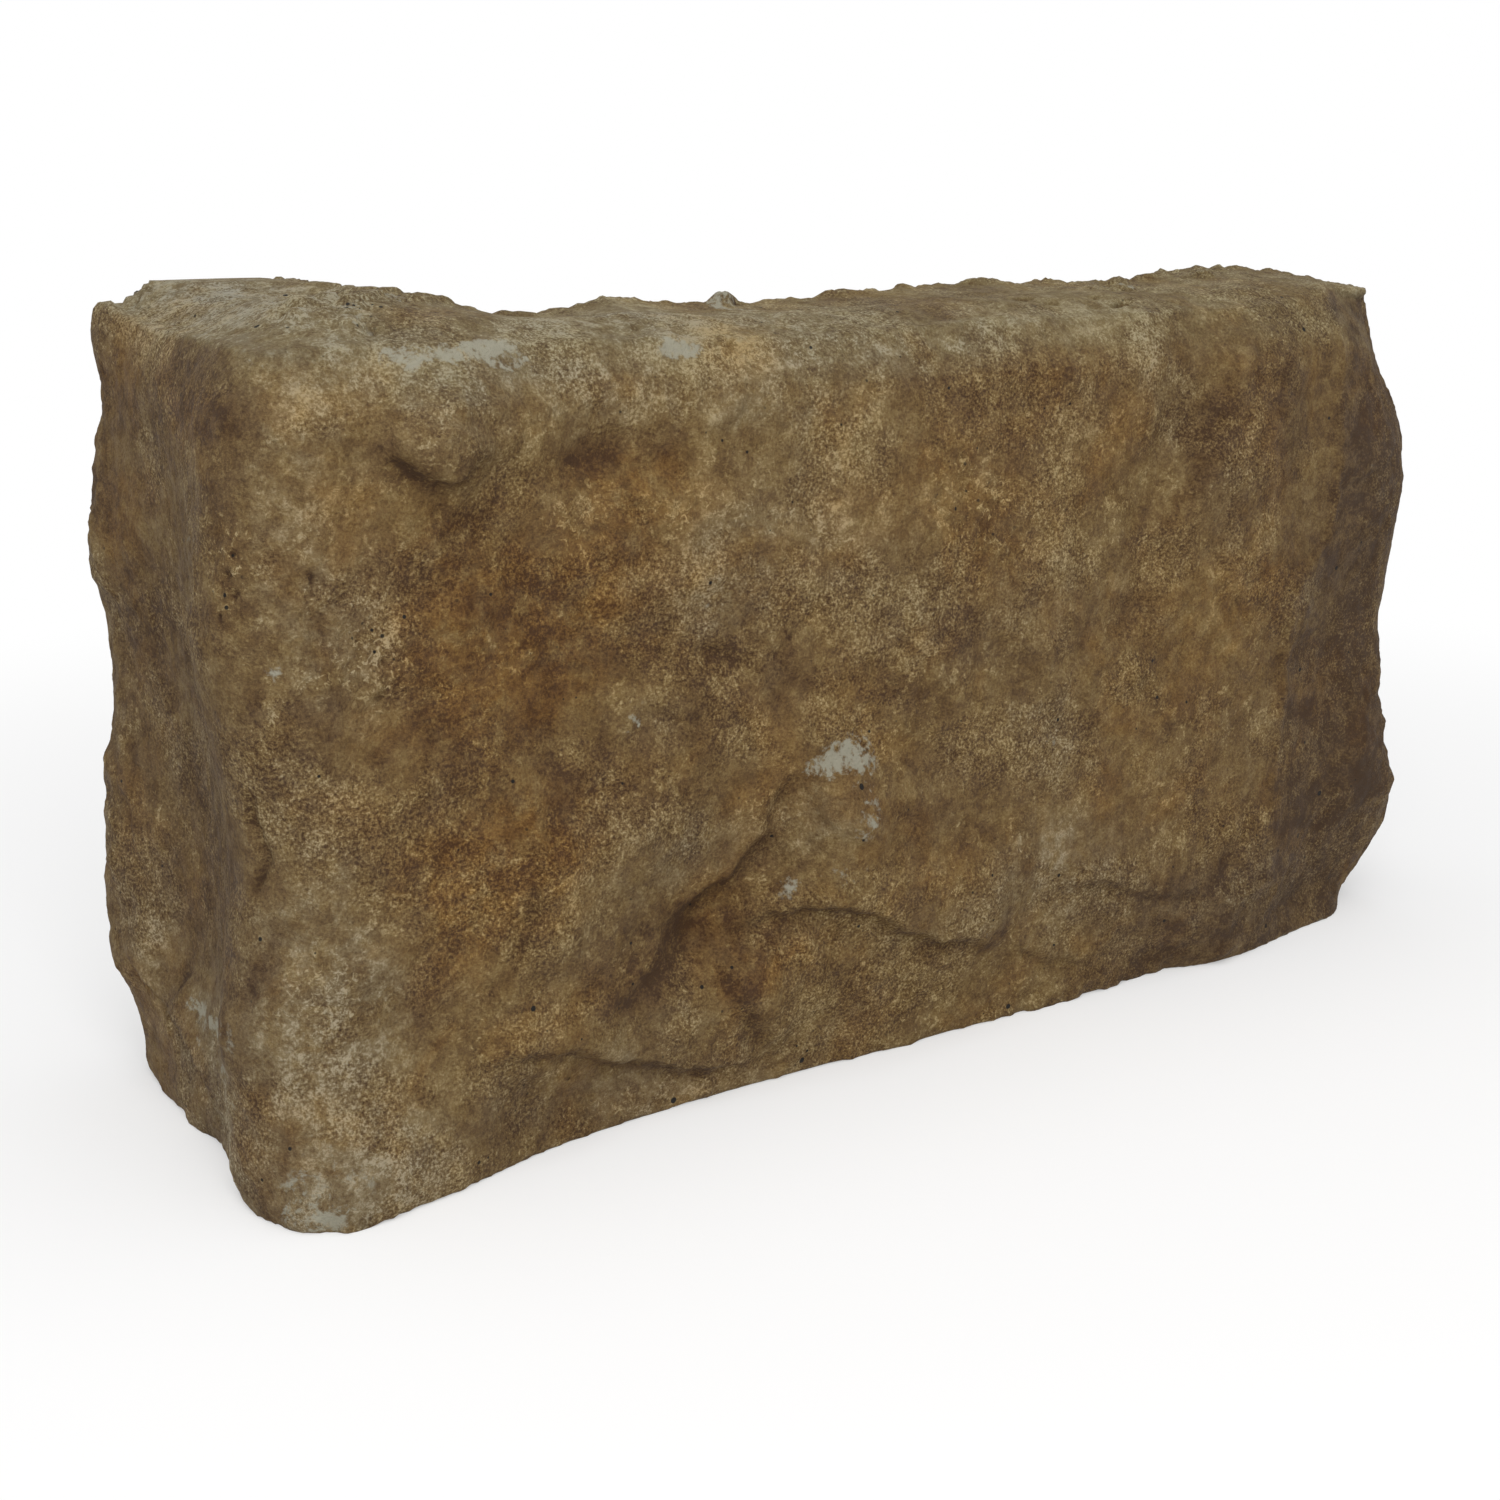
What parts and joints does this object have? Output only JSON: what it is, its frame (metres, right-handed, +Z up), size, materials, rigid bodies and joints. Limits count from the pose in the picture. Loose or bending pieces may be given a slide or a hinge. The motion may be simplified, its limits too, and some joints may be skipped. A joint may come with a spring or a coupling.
{
  "type": "stone cladding corner",
  "caption": "Cast stone cladding corner: an L-shaped rock-faced block that wraps the outside corner of a wall, flat behind, with a long and a short leg.",
  "frame": {"origin": "the wall's outside corner line, at the level of the stone's base", "axes": "+Z up the wall's corner; +X along the long leg; +Y along the short leg; the outer faces look to -Y and -X"},
  "size_m": [0.3819, 0.1254, 0.2019],
  "materials": {
    "cast_stone": "rock-faced cast concrete, mottled tan and olive-brown pigment with fine sand and air pinholes, matt"
  },
  "bodies": {
    "root": {"corner_stone": "cast_stone"}
  },
  "joints": []
}
